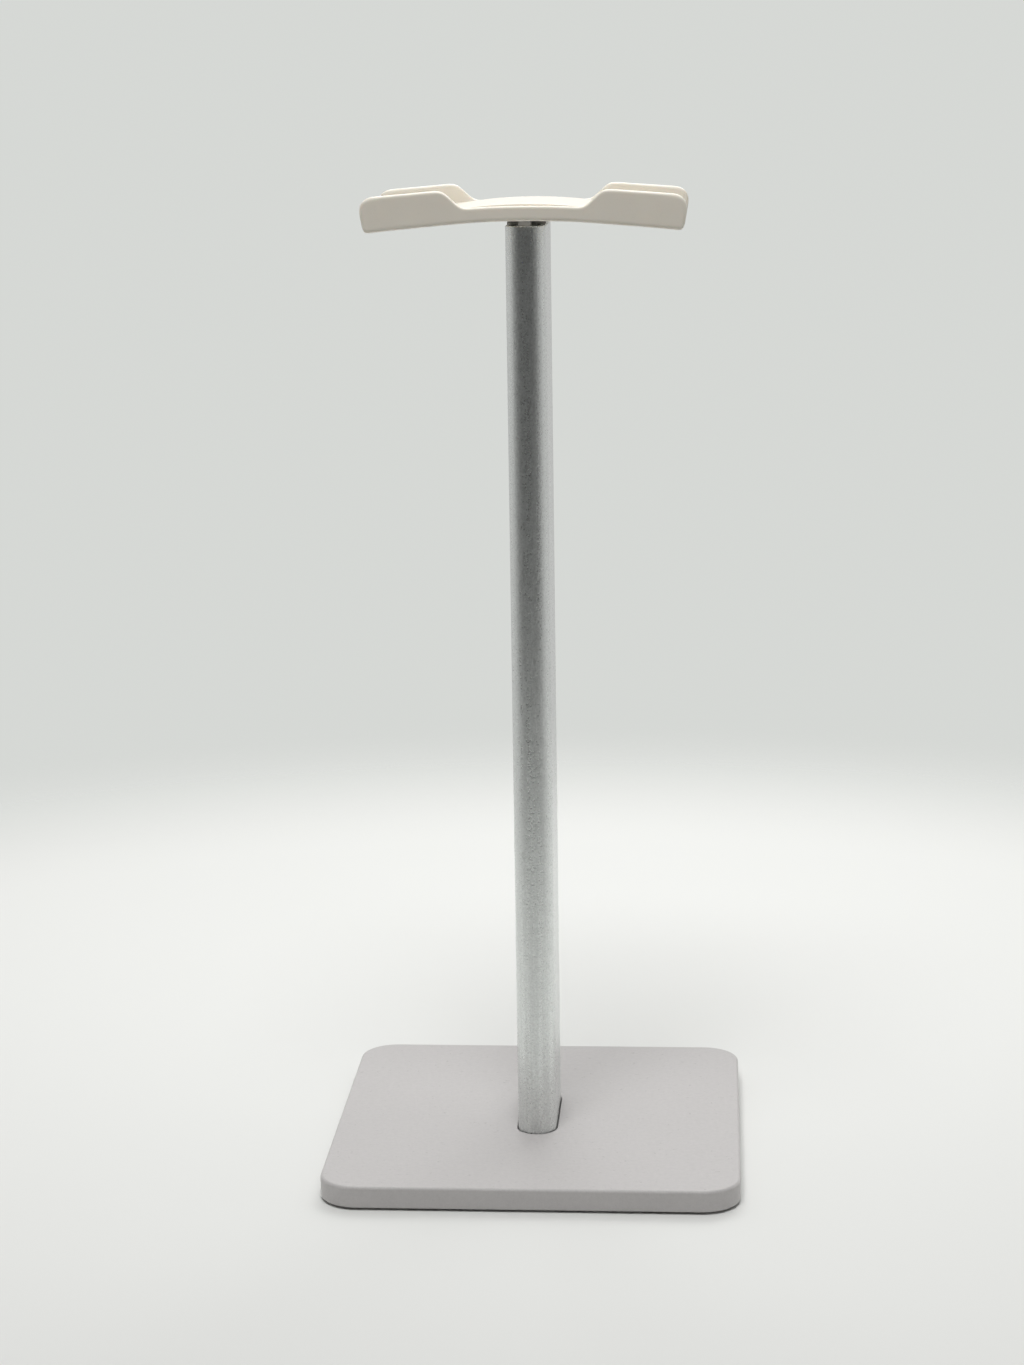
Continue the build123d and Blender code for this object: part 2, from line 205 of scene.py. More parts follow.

# %% [markdown]
# ## The studio
# The set is a pale floor that fades into an even, pale surround, so the stand reads clearly from every
# side. A plane that meets a backdrop would do too, but its fold shows from some sides. The floor is a
# disc instead, and a Mix Shader turns its edge clear. It is open beneath the base, so that light
# reaches the underside, and clear from below, so that the underside can be looked at. Its colour is
# painted darker towards the front: a painted shade for the light that falls off away from the lamps.

# %% Floor
FLOOR_REAR = (0.78, 0.785, 0.767, 1)
PAINTED_SHADE_FLOOR_FRONT = (0.71, 0.715, 0.70, 1)
SURROUND = (0.672, 0.689, 0.666, 1)
FLOOR_SOLID_RADIUS = 0.30
FLOOR_FADED_RADIUS = 0.50
FLOOR_DROP = 0.05 * MM
OPEN_HALF, OPEN_EDGE = 45 * MM, 1 * MM
SHADE_FRONT, SHADE_REAR = -0.30, 0.25

bpy.ops.object.select_all(action="DESELECT")
bpy.ops.mesh.primitive_circle_add(vertices=96, radius=FLOOR_FADED_RADIUS, fill_type="NGON",
                                  location=(0, 0, -FLOOR_DROP))
floor = bpy.context.object
floor.name = "studio_floor"

floor_paint = bpy.data.materials.new("studio_floor")
tree = Tree(floor_paint)
where = tree.node("ShaderNodeTexCoord", output="Object")
distance = tree.node("ShaderNodeVectorMath", {"operation": "LENGTH"}, {0: where}, output="Value")
solid = tree.band(distance, FLOOR_SOLID_RADIUS, FLOOR_FADED_RADIUS, before=1.0, after=0.0)
from_above = 1 - tree.node("ShaderNodeNewGeometry", output="Backfacing")
past_opening = tree.band(tree.farthest(where), OPEN_HALF, OPEN_HALF + OPEN_EDGE)
# Painted shade: the floor's colour darkens from the rear towards the front, in place of light falloff.
to_rear = tree.band(tree.along("Y", where), SHADE_FRONT, SHADE_REAR)
colour = tree.mix(to_rear, PAINTED_SHADE_FLOOR_FRONT, FLOOR_REAR)
paint = tree.node("ShaderNodeBsdfDiffuse", None, {"Color": colour})
clear = tree.node("ShaderNodeBsdfTransparent")
faded = tree.node("ShaderNodeMixShader", None, {0: solid * from_above * past_opening, 1: clear, 2: paint})
tree.node("ShaderNodeOutputMaterial", None, {0: faded})
floor.data.materials.append(floor_paint)
print("floor radius, m:", FLOOR_FADED_RADIUS)

# %% [markdown]
# A metal post has little colour of its own: it shows what stands round it. So the surround is dimmer
# in front, as a room is behind a photographer, and that puts the dark band down the middle of the post.
# Real walls could be built for this, but a world shader that reads the direction does it in four nodes.
# The Light Path node keeps the two jobs apart: the camera sees an even grey, and the light does not.

# %% Surround
FRONT_DIM, REAR_BRIGHT = 0.10, 0.62
DIM_UNTIL, BRIGHT_FROM = -0.85, 0.35
LAMP_WHITE = (1.0, 1.0, 0.985, 1)

world = bpy.data.worlds.new("surround")
bpy.context.scene.world = world
tree = Tree(world)
direction = tree.node("ShaderNodeTexCoord", output="Generated")
to_rear = tree.along("Y", direction)
strength = tree.band(to_rear, DIM_UNTIL, BRIGHT_FROM, before=FRONT_DIM, after=REAR_BRIGHT)
lit = tree.node("ShaderNodeBackground", None, {"Color": LAMP_WHITE, "Strength": strength})
shown = tree.node("ShaderNodeBackground", None, {"Color": SURROUND, "Strength": 1.0})
seen = tree.node("ShaderNodeLightPath", output="Is Camera Ray")
both = tree.node("ShaderNodeMixShader", None, {0: seen, 1: lit, 2: shown})
tree.node("ShaderNodeOutputWorld", None, {0: both})
bpy.context.scene.view_settings.view_transform = "Standard"
print("surround ready")

# %% [markdown]
# Two softboxes light the stand from above. The large one hangs behind it and makes the seat and the
# base's top the brightest faces. The smaller one is steep and in front: it catches the rounded rims of
# the saddle, and grazes the upright faces so little that they stay in soft shade.

# %% Lights
def panel(name, place, aim, size, power, spread):
    """A square softbox at one point, turned to face another, whose light fans out by an angle."""
    bpy.ops.object.light_add(type="AREA", location=place)
    light = bpy.context.object
    light.name = name
    light.data.size = size
    light.data.energy = power
    light.data.spread = math.radians(spread)
    light.visible_camera = False
    light.rotation_euler = (Vector(aim) - Vector(place)).to_track_quat("-Z", "Y").to_euler()
    return light


panel("rear_panel", place=(0.05, 0.58, 0.74), aim=(0.0, 0.12, 0.0), size=0.60, power=3.15, spread=180)
panel("front_panel", place=(-0.05, -0.40, 1.16), aim=(0.0, 0.02, 0.24), size=0.50, power=1.55, spread=80)

# %% [markdown]
# ## Modelling by hand, in code
# Every new piece below is made as it would be at a desk: a primitive is added, edit mode is entered,
# some vertices or faces are selected, and an operator works on them. These helpers do the selecting.
# An operator acts on all that is selected, so each helper sets the whole selection, not only its part.

# %% Modelling helpers
import bmesh

FACING = 0.9
SMOOTH_ANGLE = math.radians(40)


def deselect():
    bpy.ops.object.select_all(action="DESELECT")


def start_editing(piece, name):
    """Names a fresh primitive and opens it in edit mode with nothing selected."""
    piece.name = name
    piece.data.name = name
    bpy.ops.object.mode_set(mode="EDIT")
    bpy.ops.mesh.select_all(action="DESELECT")


def select_faces(piece, wanted):
    """Selects exactly the faces whose middle and normal pass a test."""
    bpy.ops.mesh.select_mode(type="FACE")
    mesh = bmesh.from_edit_mesh(piece.data)
    for face in mesh.faces:
        face.select_set(wanted(face.calc_center_median(), face.normal))
    bmesh.update_edit_mesh(piece.data)


def cut(place, normal):
    """Slices the mesh in edit mode with a plane, which leaves a loop of edges and removes nothing."""
    bpy.ops.mesh.select_all(action="SELECT")
    bpy.ops.mesh.bisect(plane_co=place, plane_no=normal)


def apply_modifier(piece, kind, **settings):
    """Adds a modifier with these settings, and turns its result into the mesh."""
    modifier = piece.modifiers.new(kind.lower(), kind)
    for name, value in settings.items():
        setattr(modifier, name, value)
    bpy.context.view_layer.objects.active = piece
    bpy.ops.object.modifier_apply(modifier=modifier.name)


def is_closed(piece):
    """True when every edge of the mesh has exactly two faces."""
    mesh = bmesh.new()
    mesh.from_mesh(piece.data)
    closed = all(edge.is_manifold for edge in mesh.edges)
    mesh.free()
    return closed


print("modelling helpers ready")

# %% [markdown]
# ## The saddle
# The headrest is one soft moulding: a thin arched seat between two walls, and each wall rises to an ear
# at both ends so that a headband can't slide off. Moulded rubber has no hard edges, so it is made as a
# coarse cage that a Subdivision Surface rounds. How tight a corner gets is decided by how near the next
# loop of the cage lies. The cage starts as a plain block that is sliced along its length and width, and
# then its two outer strips are pulled up three times, which gives the walls their rows.

# %% Saddle: sizes
PAD_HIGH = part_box("headrest_pad")[1]
HALF_DEPTH = PAD_HIGH.y / MM
HALF_LENGTH = 41.8
WALL = 2.2
EDGE_GAP, FLAT_GAP = 0.25, 2.4
INNER_WALL = HALF_DEPTH - WALL
SEAT_EDGE = INNER_WALL - EDGE_GAP
SEAT_FLAT = INNER_WALL - FLAT_GAP

UNDERSIDE = 251.4
ARCH_RADIUS, ARCH_HALF = 217.0, 19.0
RIM_HEIGHT = 3.85
SKIN_HEIGHT = 2.5
CREST_HEIGHT = 4.35
SEAT_RADIUS, SEAT_HALF = 110.0, 15.0
RAMP_START, RAMP_END = 15.5, 20.3
EAR_TOP = 259.3
EAR_SLOPE = 0.08
TIP_RADIUS = 3.7
TIP_UNDERCUT = 1.3
print("saddle length and depth, mm:", round(2 * PAD_HIGH.x / MM, 1), round(2 * HALF_DEPTH, 1))


# %% Saddle: heights along it
def arched(x, top, radius, half):
    """Height of an arch that peaks in the middle and runs on straight past its half length."""
    along = min(abs(x), half)
    drop = radius - math.sqrt(radius ** 2 - along ** 2)
    slope = half / math.sqrt(radius ** 2 - half ** 2)
    return top - drop - (abs(x) - along) * slope


def underside(x):
    """Height of the saddle's lower face."""
    return arched(x, UNDERSIDE, ARCH_RADIUS, ARCH_HALF)


def seat(x):
    """Height of the seat: its own tighter arch, which runs out into an even skin."""
    skin = underside(x) + SKIN_HEIGHT
    return max(skin, arched(x, UNDERSIDE + CREST_HEIGHT, SEAT_RADIUS, SEAT_HALF))


def rim(x):
    """Height of the walls: a low rim in the middle, a ramp, and the gently falling top of an ear."""
    low_rim = underside(min(abs(x), RAMP_START)) + RIM_HEIGHT
    if abs(x) <= RAMP_START:
        return low_rim
    if abs(x) >= RAMP_END:
        return EAR_TOP - EAR_SLOPE * (abs(x) - RAMP_END)
    share = (abs(x) - RAMP_START) / (RAMP_END - RAMP_START)
    return low_rim + share * (EAR_TOP - low_rim)


print("seat and rim at the middle, mm:", round(seat(0), 2), round(rim(0), 2))

# %% [markdown]
# The end of an ear is the hard part of the cage. Its top corner has a large radius, so the last points
# of the top row and the first points of the end row all lie on one arc. The arc's middle follows from
# the two lines that it joins: step back from their corner along both normals.

# %% Saddle: the rounded tip of an ear
LOW_TIP = HALF_LENGTH - TIP_UNDERCUT
TIP_CORNER = Vector((HALF_LENGTH, rim(HALF_LENGTH)))
LEAN_RUN = TIP_CORNER - Vector((LOW_TIP, underside(LOW_TIP)))
TOP_NORMAL = Vector((EAR_SLOPE, 1)).normalized()
END_NORMAL = Vector((LEAN_RUN.y, -LEAN_RUN.x)).normalized()
ARC_MIDDLE = TIP_CORNER - TIP_RADIUS * (TOP_NORMAL + END_NORMAL) / (1 + TOP_NORMAL.dot(END_NORMAL))
TOP_ANGLE = math.atan2(TOP_NORMAL.y, TOP_NORMAL.x)
END_ANGLE = math.atan2(END_NORMAL.y, END_NORMAL.x)


def on_tip_arc(share, radius=TIP_RADIUS):
    """A point of the tip's arc as length and height, from 0 at the ear's top to 1 at its end."""
    angle = TOP_ANGLE + share * (END_ANGLE - TOP_ANGLE)
    return ARC_MIDDLE.x + radius * math.cos(angle), ARC_MIDDLE.y + radius * math.sin(angle)


def end_line(height):
    """How far out the leaning end of the saddle is at a height."""
    return HALF_LENGTH - (TIP_CORNER.y - height) * LEAN_RUN.x / LEAN_RUN.y


print("tip arc's middle, mm:", [round(v, 1) for v in ARC_MIDDLE])

# %% [markdown]
# Each vertex of the cage is known by three numbers: its station along the saddle, its column across it,
# and its level. Between the ears the wall's inner rows dip into a thin groove beside the seat, which
# stands a little proud of the rim. From the ramp outwards the same rows stretch into the ear's wall.

# %% Saddle: stations, columns and levels
STATIONS = [0, 6.2, 10.2, 12.9, RAMP_START, 17.9, RAMP_END, 23.2, 30, 36.5]
BEFORE_TIP, TIP = len(STATIONS), len(STATIONS) + 1
COLUMNS = [SEAT_FLAT, SEAT_EDGE, INNER_WALL, HALF_DEPTH]
BELLY = 1.4
LEVELS = [0, BELLY, CREST_HEIGHT, 5.4, 6.4, 7.4]
print("stations:", [round(s, 1) for s in STATIONS])

# %% [markdown]
# A subdivision surface shrinks away from the corners of its cage. So the cage's tip lies a little
# outside the arc that the finished ear should follow. A table gives, for each level, how far round the
# arc a vertex lies and how far outside it. Support rows run close beside the rims: the nearer they are,
# the tighter the rim's rounding.

# %% Saddle: where each vertex of the cage goes
SUPPORT, END_SUPPORT = 1.05, 1.3
WALL_SHARES = (0.25, 0.6)
WALL_FOOT = 0.6
GROOVE = {3: (19.85, -0.9), 4: (20.2, -0.5), 5: (20.6, 0.0)}
TIP_ROWS = {5: (0.50, 0.22), 4: (0.78, 0.26), 3: (1.08, 0.20)}
BEFORE_TIP_ROWS = {5: (0.16, 0.20), 4: (0.5, -1.3)}
LOW_CORNER_IN, LOW_CORNER_UP = 0.45, 0.10


def outer_height(x, level):
    """Height of the row at one level on the wall's outer face."""
    low, high = underside(x), rim(x)
    belly, shoulder = low + BELLY, high - SUPPORT
    between = [belly + share * (shoulder - belly) for share in WALL_SHARES]
    return [low, belly, *between, shoulder, high][level]


def inner_place(x, level):
    """Column and height of the row at one level, on the wall's inner face or under the seat's edge."""
    if level < 2:
        return INNER_WALL, underside(x) + LEVELS[level]
    if x > RAMP_START:
        heights = [seat(x), seat(x) + WALL_FOOT, rim(x) - SUPPORT, rim(x)]
        return INNER_WALL, heights[level - 2]
    if level == 2:
        return INNER_WALL, seat(x)
    column, above_rim = GROOVE[level]
    return column, rim(x) + above_rim


def lengthwise(station, level, height):
    """Length and height of a vertex, which only the two last stations change."""
    if station < BEFORE_TIP:
        return STATIONS[station], height
    rows = TIP_ROWS if station == TIP else BEFORE_TIP_ROWS
    if level in rows:
        share, outside = rows[level]
        return on_tip_arc(share, TIP_RADIUS + outside)
    if station == BEFORE_TIP:
        return end_line(height) - END_SUPPORT, height
    if level == 0:
        return end_line(height) - LOW_CORNER_IN, height + LOW_CORNER_UP
    return end_line(height), height


def cage_place(station, column, level):
    """Where the cage's vertex at one station, column (from the seat out) and level goes."""
    x = STATIONS[station] if station < BEFORE_TIP else LOW_TIP
    if column == 3:
        y, height = HALF_DEPTH, outer_height(x, level)
    elif column == 2:
        y, height = inner_place(x, level)
    else:
        y, height = COLUMNS[column], [underside(x), underside(x) + BELLY, seat(x)][level]
    if level == 3 and column == 2 and station >= BEFORE_TIP:
        inwards = SUPPORT if station == BEFORE_TIP else 0
        return end_line(height) - inwards, y, height
    x, height = lengthwise(station, level, height)
    return x, y, height


print("the tip's top corner, mm:", [round(v, 2) for v in cage_place(TIP, 3, 5)])

# %% [markdown]
# The block is cut with Bisect, which needs no window as the loop cut tool does. Bisect with nothing
# cleared only adds edges, so every slice leaves a full loop. Then the two strips of faces over the
# walls are extruded upwards, one level at a time.

# %% Saddle: block, cuts and walls
ROUGH_BEFORE_TIP, ROUGH_TIP = 39.5, 41.0
ROUGH_STATIONS = STATIONS + [ROUGH_BEFORE_TIP]
block_height = CREST_HEIGHT * MM

deselect()
bpy.ops.mesh.primitive_cube_add(size=1, location=(0, 0, block_height / 2),
                                scale=(2 * ROUGH_TIP * MM, 2 * HALF_DEPTH * MM, block_height))
bpy.ops.object.transform_apply(location=True, rotation=True, scale=True)
saddle = bpy.context.object
start_editing(saddle, "saddle")
for way in (-1, 1):
    for x in ROUGH_STATIONS[1:]:
        cut((way * x * MM, 0, 0), (1, 0, 0))
    for y in COLUMNS[:3]:
        cut((0, way * y * MM, 0), (0, 1, 0))
cut((0, 0, 0), (1, 0, 0))
cut((0, 0, BELLY * MM), (0, 0, 1))

for below, above in zip(LEVELS[2:], LEVELS[3:]):
    select_faces(saddle, lambda middle, normal: normal.z > FACING and abs(middle.y) > INNER_WALL * MM)
    bpy.ops.mesh.extrude_region_move(TRANSFORM_OT_translate={"value": (0, 0, (above - below) * MM)})
print("cage vertices:", len(bmesh.from_edit_mesh(saddle.data).verts))

# %% [markdown]
# Now each vertex moves from its place in the block to its place in the cage. Proportional editing could
# bend the block roughly, but a moulding with exact radii needs every vertex placed. The place in the
# block says which station, column and level a vertex has, so no list of numbers has to be kept.

# %% Saddle: move the cage into shape
def nearest(value, choices):
    """Index of the choice that is closest to a value."""
    return min(range(len(choices)), key=lambda i: abs(choices[i] - value))


def move_cage(piece):
    """Sends every vertex of the block to its place, one move operator for each vertex."""
    mesh = bmesh.from_edit_mesh(piece.data)
    moves = []
    for vertex in mesh.verts:
        length, depth, height = vertex.co / MM
        station = nearest(abs(length), ROUGH_STATIONS + [ROUGH_TIP])
        column = nearest(abs(depth), COLUMNS)
        x, y, z = cage_place(station, column, nearest(height, LEVELS))
        aim = Vector((math.copysign(x, length), math.copysign(y, depth), z)) * MM
        moves.append(aim - vertex.co)
    bpy.ops.mesh.select_mode(type="VERT")
    for index, move in enumerate(moves):
        bpy.ops.mesh.select_all(action="DESELECT")
        mesh = bmesh.from_edit_mesh(piece.data)
        mesh.verts.ensure_lookup_table()
        mesh.verts[index].select_set(True)
        bmesh.update_edit_mesh(piece.data, loop_triangles=False, destructive=False)
        bpy.ops.transform.translate(value=move)
    print("moved vertices:", len(moves))


move_cage(saddle)
bpy.ops.object.mode_set(mode="OBJECT")

# %% [markdown]
# Three levels of subdivision make each face of the cage 64 faces, which is smooth at arm's length. The
# modifier is applied at once, because the pocket in the next step is cut into the rounded shape.

# %% Saddle: round it
ROUNDING_LEVELS = 3
apply_modifier(saddle, "SUBSURF", levels=ROUNDING_LEVELS, render_levels=ROUNDING_LEVELS)
print("rounded saddle is closed:", is_closed(saddle), "faces:", len(saddle.data.polygons))

# %% [markdown]
# The saddle is moulded round the plate of its stiff plug, so the finished shape needs the same pocket
# inside it. A copy of the pocket's shape is made as a solid and taken away with a Boolean modifier.

# %% Saddle: pocket for the plug
NECK_WIDTH, NECK_DEPTH = 10.0, 12.6
PLATE_LENGTH, PLATE_DEPTH, PLATE_CORNER = 34.0, 16.0, 3.0
PLATE_LOW, PLATE_TOP = UNDERSIDE + 0.7, UNDERSIDE + 2.1
NECK_LOW, NECK_TOP = UNDERSIDE - 3, PLATE_LOW + 0.2
CORNER_SEGMENTS = 6


def solid_block(name, width, depth, low, top):
    """A plain block for cutting, with its place in its mesh."""
    deselect()
    bpy.ops.mesh.primitive_cube_add(size=1, location=(0, 0, (low + top) / 2 * MM),
                                    scale=(width * MM, depth * MM, (top - low) * MM))
    bpy.ops.object.transform_apply(location=True, rotation=True, scale=True)
    bpy.context.object.name = name
    return bpy.context.object


def round_upright_edges(piece, radius):
    """Bevels the four vertical edges of a block."""
    bpy.ops.object.mode_set(mode="EDIT")
    bpy.ops.mesh.select_mode(type="EDGE")
    mesh = bmesh.from_edit_mesh(piece.data)
    for edge in mesh.edges:
        first, second = (v.co for v in edge.verts)
        edge.select_set(abs(first.z - second.z) > abs(first.x - second.x) + abs(first.y - second.y))
    bmesh.update_edit_mesh(piece.data)
    bpy.ops.mesh.bevel(offset=radius * MM, segments=CORNER_SEGMENTS)
    bpy.ops.object.mode_set(mode="OBJECT")


plate = solid_block("plate_cutter", PLATE_LENGTH, PLATE_DEPTH, PLATE_LOW, PLATE_TOP)
round_upright_edges(plate, PLATE_CORNER)
neck = solid_block("neck_cutter", NECK_WIDTH, NECK_DEPTH, NECK_LOW, NECK_TOP)
for cutter in (plate, neck):
    deselect()
    apply_modifier(saddle, "BOOLEAN", operation="DIFFERENCE", object=cutter, solver="EXACT")
    bpy.data.objects.remove(cutter)
deselect()
saddle.select_set(True)
bpy.context.view_layer.objects.active = saddle
bpy.ops.object.shade_smooth_by_angle(angle=SMOOTH_ANGLE)
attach(saddle, "root")
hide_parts("headrest_pad")
print("saddle is closed:", is_closed(saddle), "faces:", len(saddle.data.polygons))

# %% [markdown]
# ## The feet
# Four black rubber discs keep the base from sliding. Each is cut from sheet with rounded edges and has
# two shallow grooves in its grip face, which let air out so that the disc can cling. One is modelled
# from a cylinder by insets and small pushes. The rest are copies, and each has its own mesh.

# %% Feet: one disc
FOOT_NODES = [name for name in sorted(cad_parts) if name.startswith("foot_")]
FOOT_LOW, FOOT_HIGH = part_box(FOOT_NODES[0])
FOOT_RADIUS = (FOOT_HIGH.x - FOOT_LOW.x) / 2
FOOT_HEIGHT = FOOT_HIGH.z - FOOT_LOW.z
RIM_BAND, GROOVE_WIDTH, RING_WIDTH = 1.3 * MM, 0.5 * MM, 1.1 * MM
GROOVE_DEPTH = 0.3 * MM
FOOT_EDGE = 0.12 * MM
EDGE_ANGLE = math.radians(30)


def inset_and_push(width, rise):
    """Insets the selected face, and then moves the smaller face up or down."""
    bpy.ops.mesh.inset(thickness=width)
    bpy.ops.transform.translate(value=(0, 0, rise))


def make_foot():
    """A rubber disc that stands at the origin, with two grooves in its lower face."""
    deselect()
    bpy.ops.mesh.primitive_cylinder_add(vertices=64, radius=FOOT_RADIUS, depth=FOOT_HEIGHT,
                                        location=(0, 0, FOOT_HEIGHT / 2))
    bpy.ops.object.transform_apply(location=True, rotation=True, scale=True)
    foot = bpy.context.object
    start_editing(foot, "rubber_foot")
    select_faces(foot, lambda middle, normal: normal.z < -FACING)
    inset_and_push(RIM_BAND, 0)
    for _ in range(2):
        inset_and_push(GROOVE_WIDTH / 2, GROOVE_DEPTH)
        inset_and_push(GROOVE_WIDTH / 2, 0)
        inset_and_push(GROOVE_WIDTH / 2, -GROOVE_DEPTH)
        inset_and_push(RING_WIDTH, 0)
    bpy.ops.object.mode_set(mode="OBJECT")
    apply_modifier(foot, "BEVEL", width=FOOT_EDGE, segments=3, limit_method="ANGLE", angle_limit=EDGE_ANGLE)
    bpy.ops.object.shade_smooth_by_angle(angle=SMOOTH_ANGLE)
    return foot


first_foot = make_foot()
print("foot is closed:", is_closed(first_foot), "faces:", len(first_foot.data.polygons))

# %% [markdown]
# The copies are made before any of them is moved, so each starts as the same disc at the origin. The
# place then goes into the mesh and not into the object, as it is in the hard parts.

# %% Feet: one under each corner
feet = [first_foot]
for _ in FOOT_NODES[1:]:
    foot = first_foot.copy()
    foot.data = first_foot.data.copy()
    bpy.context.collection.objects.link(foot)
    feet.append(foot)
for foot, node in zip(feet, FOOT_NODES):
    low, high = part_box(node)
    foot.name = "rubber_" + node
    foot.data.name = foot.name
    foot.data.transform(Matrix.Translation(((low.x + high.x) / 2, (low.y + high.y) / 2, low.z)))
    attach(foot, "root")
    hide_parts(node)
print("feet:", [foot.name for foot in feet])

# %% [markdown]
# ## Finishes
# A finish is built in layers, from large to small: a slow drift of colour and gloss over the whole
# piece, a grain that belongs to how it was made, and last what use has left on it. All patterns read
# object coordinates, so they keep their size in millimetres and stay on the piece from every side.

# %% Finishes: shared layers
def tinted(colour, factor):
    """A colour made darker or lighter by a factor."""
    return tuple(min(1.0, factor * c) for c in colour[:3]) + (1,)


def bump(tree, height, depth_mm, strength=1.0):
    """A relief of this depth, ready for a shader's Normal."""
    sockets = {"Height": height, "Distance": depth_mm * MM, "Strength": strength}
    return tree.node("ShaderNodeBump", None, sockets, output="Normal")


def dress(piece, material):
    """Gives a piece one finish and nothing else."""
    piece.data.materials.clear()
    piece.data.materials.append(material)
    print("finish of", piece.name + ":", material.name)


print("cream a tenth darker:", tinted((0.9, 0.8, 0.7, 1), 0.9))

# %% [markdown]
# **White base shell.** The shell is moulded in a steel tool whose cavity was spark-eroded, which leaves a
# fine matt grain of rounded lumps. A scanned picture of such a grain could be wrapped round the shell,
# but two noises of different sizes make it with no seams. Dust lies on the top face only, so a band on
# the height keeps the specks there. Hands polish the outer edge, and the roughness falls a little.

# %% Finish of the base shell
BASE_WHITE = (0.53, 0.513, 0.508, 1)
DUST_GREY = (0.27, 0.26, 0.25, 1)
BASE_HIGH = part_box("base_cover")[1]
HANDLED_EDGE = 1.6 * MM


def make_base_finish():
    material, tree, shader, where = surface("base_white_plastic", IOR=1.47, Diffuse_Roughness=0.3)
    drift = tree.noise(where, 38, 3)
    lumps = tree.ramp(tree.noise(where, 1.3, 2), (0.32, 0), (0.68, 1))
    grain = tree.ramp(tree.noise(where, 0.55, 2), (0.30, 0), (0.70, 1))
    on_top = tree.band(tree.along("Z", where), BASE_HIGH.z - 0.3 * MM, BASE_HIGH.z - 0.1 * MM)
    specks = tree.ramp(tree.noise(where, 1.5, 4, 0.60), (0.655, 0), (0.70, 1)) * on_top
    colour = tree.mix(drift, tinted(BASE_WHITE, 0.96), tinted(BASE_WHITE, 1.04))
    colour = tree.mix(0.45 * lumps, colour, tinted(BASE_WHITE, 0.88))
    colour = tree.mix(0.45 * grain, colour, tinted(BASE_WHITE, 1.10))
    colour = tree.mix(0.35 * specks, colour, DUST_GREY)
    handled = tree.band(tree.farthest(where), BASE_HIGH.x - HANDLED_EDGE, BASE_HIGH.x)
    roughness = 0.47 + 0.10 * grain + 0.06 * drift - 0.10 * handled
    relief = bump(tree, 0.6 * grain + 0.4 * lumps, 0.05, 0.7)
    feed(tree, shader, Base_Color=colour, Roughness=roughness, Normal=relief)
    return material


dress(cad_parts["base_cover"], make_base_finish())

# %% [markdown]
# **Bottom plate.** This plate is never looked at, so its tool is left coarser, and it rubs on tables.
# A stretched noise laid along one direction gives the faint drag marks of being slid about.

# %% Finish of the bottom plate
BOTTOM_WHITE = (0.60, 0.585, 0.585, 1)
DRAG_GREY = (0.36, 0.35, 0.34, 1)
DRAG_TURN = 0.5


def make_bottom_finish():
    material, tree, shader, where = surface("bottom_plastic_coarse", IOR=1.47)
    coarse = tree.noise(where, 0.8, 3, 0.6)
    drift = tree.noise(where, 30, 2)
    dragged = tree.stretched(where, (0.04, 1, 1), DRAG_TURN)
    drags = tree.ramp(tree.noise(dragged, 0.5, 2), (0.60, 0), (0.72, 1))
    colour = tree.mix(drift, tinted(BOTTOM_WHITE, 0.94), tinted(BOTTOM_WHITE, 1.04))
    colour = tree.mix(0.35 * coarse, colour, tinted(BOTTOM_WHITE, 0.82))
    colour = tree.mix(0.25 * drags, colour, DRAG_GREY)
    relief = bump(tree, coarse - 0.5 * drags, 0.06, 0.7)
    feed(tree, shader, Base_Color=colour, Roughness=0.58 + 0.16 * coarse - 0.12 * drags, Normal=relief)
    return material


dress(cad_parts["base_bottom_plate"], make_bottom_finish())

# %% [markdown]
# **Post.** The post is extruded aluminium. Blasting with glass beads turns the bright metal into a
# mottled satin, and a clear anodised layer seals it. The metal keeps its reflections, but each bead's
# dimple scatters them, so the colour, the roughness and the bump all follow the same dimples. The lines
# of the extrusion show through as very faint stripes along the post.

# %% Finish of the post
ALUMINIUM = (0.735, 0.755, 0.743, 1)


def make_post_finish():
    material, tree, shader, where = surface("beaded_aluminium", Metallic=1.0)
    dimples = tree.ramp(tree.noise(where, 0.5, 2, 0.6), (0.32, 0), (0.68, 1))
    blotches = tree.ramp(tree.noise(where, 1.8, 3, 0.55), (0.30, 0), (0.70, 1))
    drift = tree.noise(where, 26, 2)
    lines = tree.ramp(tree.noise(tree.stretched(where, (1, 1, 0.012)), 0.8, 3), (0.38, 0), (0.66, 1))
    mottle = 0.8 * dimples + 0.2 * blotches
    colour = tree.mix(mottle, tinted(ALUMINIUM, 0.84), tinted(ALUMINIUM, 1.14))
    colour = tree.mix(0.22 * lines, colour, tinted(ALUMINIUM, 0.76))
    roughness = 0.22 + 0.10 * mottle + 0.05 * lines + 0.03 * drift
    relief = bump(tree, 0.8 * mottle + 0.2 * lines, 0.045, 0.8)
    feed(tree, shader, Base_Color=colour, Roughness=roughness, Normal=relief)
    return material


dress(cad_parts["post"], make_post_finish())

# %% [markdown]
# **Saddle.** Thermoplastic rubber is smooth from the tool and a little see-through at its thin edges,
# which a small amount of scattering under the surface gives. The headband rubs the seat, so it is a
# shade glossier and cleaner there than on the walls, where fine dust clings. A band on the distance
# from the middle tells the seat from the walls, which spares painting a mask by hand.

# %% Finish of the saddle
SADDLE_CREAM = (0.86, 0.812, 0.715, 1)
CLINGING_DUST = (0.58, 0.55, 0.51, 1)


